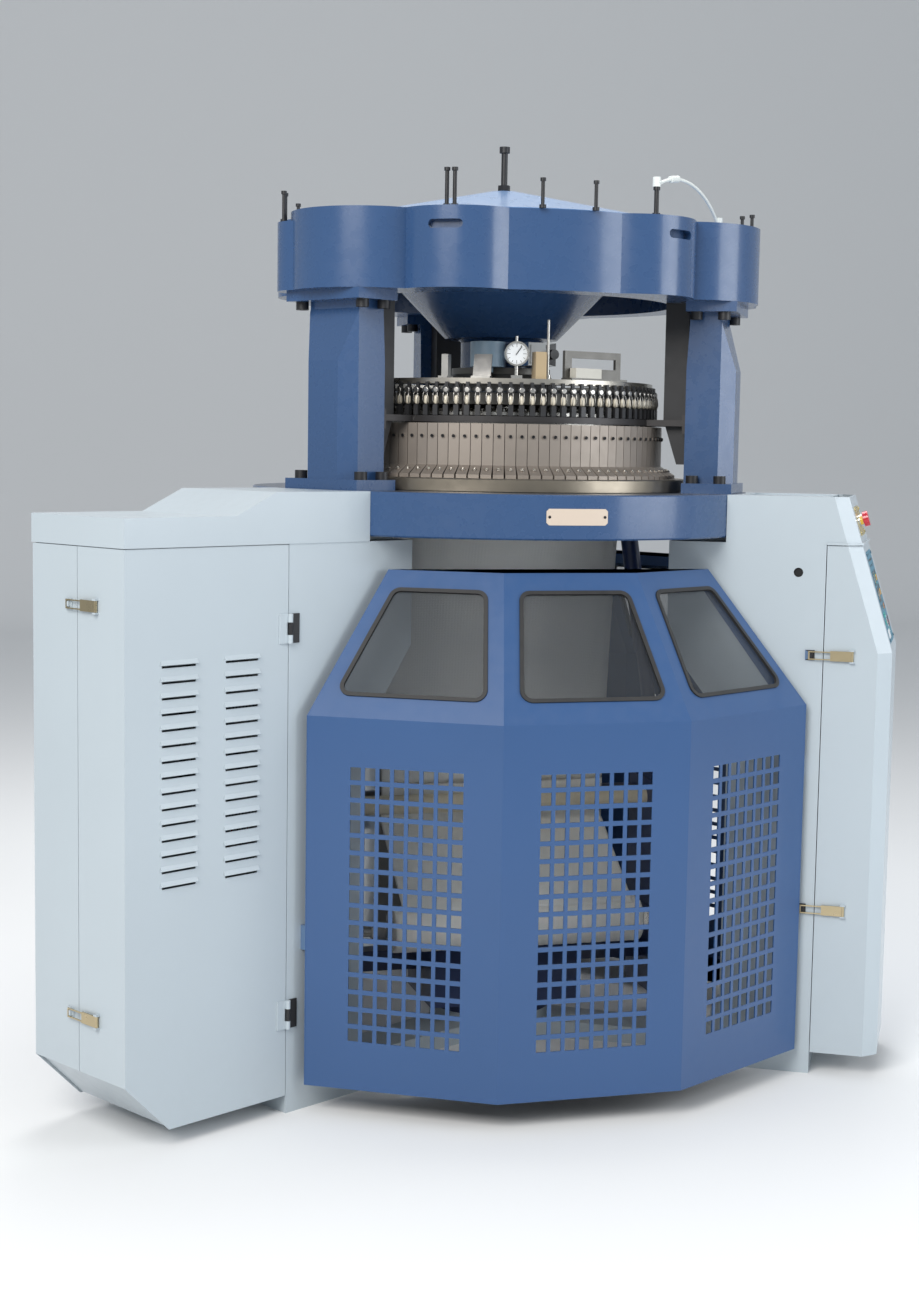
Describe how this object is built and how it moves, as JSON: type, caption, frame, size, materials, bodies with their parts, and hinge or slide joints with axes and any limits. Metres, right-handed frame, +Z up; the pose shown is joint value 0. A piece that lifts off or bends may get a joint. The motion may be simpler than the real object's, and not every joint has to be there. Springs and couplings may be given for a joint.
{
  "type": "industrial circular knitting machine",
  "caption": "Double-jersey circular knitting machine with a round cam and feeder head on three columns, hinged guard gates, fabric take-down, electrical cabinet and control panel.",
  "frame": {"origin": "on the floor, on the needle cylinder's axis", "axes": "+Z up along the cylinder axis; -Y towards the operator and the front gate; +X to the operator's right"},
  "size_m": [2.2859, 2.0908, 2.42],
  "materials": {
    "light_paint": "satin",
    "blue_paint": "gloss",
    "pale_blue_paint": "gloss",
    "dark_paint": "satin",
    "cast_iron": "machined",
    "steel": "machined",
    "chrome": "polished",
    "nylon_hose": "smooth",
    "rubber": "matte",
    "roller_steel": "ground",
    "fabric": "knitted",
    "clear_pane": "clear",
    "black_metal": "satin",
    "brass": "satin",
    "panel_teal": "matte",
    "panel_brass": "brushed",
    "button_yellow": "gloss",
    "button_red": "gloss",
    "button_green": "gloss"
  },
  "bodies": {
    "frame": {"base_spider": "light_paint", "leg_left": "light_paint", "leg_right": "light_paint", "leg_back": "light_paint", "bed_plate": "blue_paint", "columns": "blue_paint", "column_ducts": "dark_paint", "frame_bolts": "steel", "top_frame": "blue_paint", "dial_cone": "blue_paint", "top_dome": "pale_blue_paint", "top_studs": "chrome", "air_hose": "nylon_hose", "cam_base_ring": "cast_iron", "cam_boxes": "steel", "feeder_ring": "steel", "yarn_feeders": "steel", "dial_cams": "cast_iron", "head_brackets": "cast_iron", "dial_gauge": "chrome", "left_lid": "light_paint", "control_cap": "light_paint", "back_cover": "light_paint", "button_plate": "panel_brass", "hinge_blocks": "black_metal", "drive_motor": "dark_paint", "electrical_plate": "steel", "drive_belt": "rubber", "left_rear_cover": "light_paint"},
    "rotor": {"needle_cylinder": "steel", "ring_gear": "steel", "takedown_frame": "dark_paint", "takedown_arms": "dark_paint", "spreader": "steel", "fabric_tube": "fabric", "fabric_web": "fabric"},
    "dial": {"needle_dial": "steel", "dial_gear": "steel"},
    "shaft": {"drive_shaft": "steel"},
    "motor": {"motor_pulley": "steel"},
    "nip_front": {"nip_roller_front": "roller_steel"},
    "nip_back": {"nip_roller_back": "rubber"},
    "roll": {"fabric_roll": "fabric", "roll_shaft": "steel"},
    "front_gate": {"gate_front": "blue_paint", "panes_front": "clear_pane"},
    "left_gate": {"gate_left": "blue_paint", "panes_left": "clear_pane"},
    "right_gate": {"gate_right": "blue_paint", "panes_right": "clear_pane"},
    "electrical_door": {"left_door": "light_paint"},
    "control_door": {"control_cover": "light_paint", "control_panel": "panel_teal"},
    "end_latch_upper": {"left_latch_upper": "brass"},
    "end_latch_lower": {"left_latch_lower": "brass"},
    "side_latch_upper": {"control_latch_upper": "brass"},
    "side_latch_lower": {"control_latch_lower": "brass"},
    "yellow_button": {"button_yellow": "button_yellow"},
    "red_button": {"button_red": "button_red"},
    "green_button": {"button_green": "button_green"}
  },
  "joints": [
    {"name": "rotor_spin", "type": "hinge", "parent": "frame", "child": "rotor", "pos_m": [0, 0, 0], "axis": [0, 0, 1], "continuous": true},
    {"name": "dial_spin", "type": "hinge", "parent": "frame", "child": "dial", "pos_m": [0, 0, 0], "axis": [0, 0, 1], "continuous": true},
    {"name": "shaft_spin", "type": "hinge", "parent": "frame", "child": "shaft", "pos_m": [0, 0.576, 0], "axis": [0, 0, 1], "continuous": true},
    {"name": "motor_spin", "type": "hinge", "parent": "frame", "child": "motor", "pos_m": [0, 1.075, 0], "axis": [0, 0, 1], "continuous": true},
    {"name": "nip_front_spin", "type": "hinge", "parent": "rotor", "child": "nip_front", "pos_m": [0, -0.02685, 0.64], "axis": [1, 0, 0], "continuous": true},
    {"name": "nip_back_spin", "type": "hinge", "parent": "rotor", "child": "nip_back", "pos_m": [0, 0.02685, 0.64], "axis": [1, 0, 0], "continuous": true},
    {"name": "roll_spin", "type": "hinge", "parent": "rotor", "child": "roll", "pos_m": [0, -0.236, 0.345], "axis": [1, 0, 0], "continuous": true},
    {"name": "front_gate_hinge", "type": "hinge", "parent": "frame", "child": "front_gate", "pos_m": [0.64465, -0.59274, 0.56], "axis": [0, 0, 1], "range_deg": [0, 50]},
    {"name": "left_gate_hinge", "type": "hinge", "parent": "frame", "child": "left_gate", "pos_m": [-0.83565, -0.26191, 0.56], "axis": [0, 0, 1], "range_deg": [0, 50]},
    {"name": "right_gate_hinge", "type": "hinge", "parent": "frame", "child": "right_gate", "pos_m": [0.191, 0.85465, 0.56], "axis": [0, 0, 1], "range_deg": [0, 50]},
    {"name": "electrical_door_hinge", "type": "hinge", "parent": "frame", "child": "electrical_door", "pos_m": [-0.68977, -0.61128, 0.7], "axis": [0, 0, -1], "range_deg": [-60, 0]},
    {"name": "control_door_hinge", "type": "hinge", "parent": "frame", "child": "control_door", "pos_m": [0.87427, -0.29172, 0.7], "axis": [0, 0, -1], "range_deg": [-65, 0]},
    {"name": "end_latch_upper_turn", "type": "hinge", "parent": "electrical_door", "child": "end_latch_upper", "pos_m": [-1.15798, -0.75632, 1.25], "axis": [0, 0, -1], "range_deg": [-110, 0]},
    {"name": "end_latch_lower_turn", "type": "hinge", "parent": "electrical_door", "child": "end_latch_lower", "pos_m": [-1.15798, -0.75632, 0.302], "axis": [0, 0, -1], "range_deg": [-110, 0]},
    {"name": "side_latch_upper_turn", "type": "hinge", "parent": "control_door", "child": "side_latch_upper", "pos_m": [0.75374, -0.64648, 1.1], "axis": [0, 0, -1], "range_deg": [-110, 0]},
    {"name": "side_latch_lower_turn", "type": "hinge", "parent": "control_door", "child": "side_latch_lower", "pos_m": [0.75374, -0.64648, 0.438], "axis": [0, 0, -1], "range_deg": [-110, 0]},
    {"name": "yellow_press", "type": "slide", "parent": "frame", "child": "yellow_button", "axis": [-0.8275, 0.4777, -0.2951], "range_m": [0, 0.005], "stiffness_N_per_m": 400},
    {"name": "red_press", "type": "slide", "parent": "frame", "child": "red_button", "axis": [-0.8275, 0.4777, -0.2951], "range_m": [0, 0.005], "stiffness_N_per_m": 400},
    {"name": "green_press", "type": "slide", "parent": "frame", "child": "green_button", "axis": [-0.8275, 0.4777, -0.2951], "range_m": [0, 0.005], "stiffness_N_per_m": 400}
  ],
  "couplings": [
    {"joint": "dial_spin", "follows": "rotor_spin", "ratio": 1},
    {"joint": "shaft_spin", "follows": "rotor_spin", "ratio": -7},
    {"joint": "motor_spin", "follows": "rotor_spin", "ratio": -7},
    {"joint": "nip_front_spin", "follows": "rotor_spin", "ratio": -0.5},
    {"joint": "nip_back_spin", "follows": "rotor_spin", "ratio": 0.5},
    {"joint": "roll_spin", "follows": "rotor_spin", "ratio": 0.20968}
  ]
}
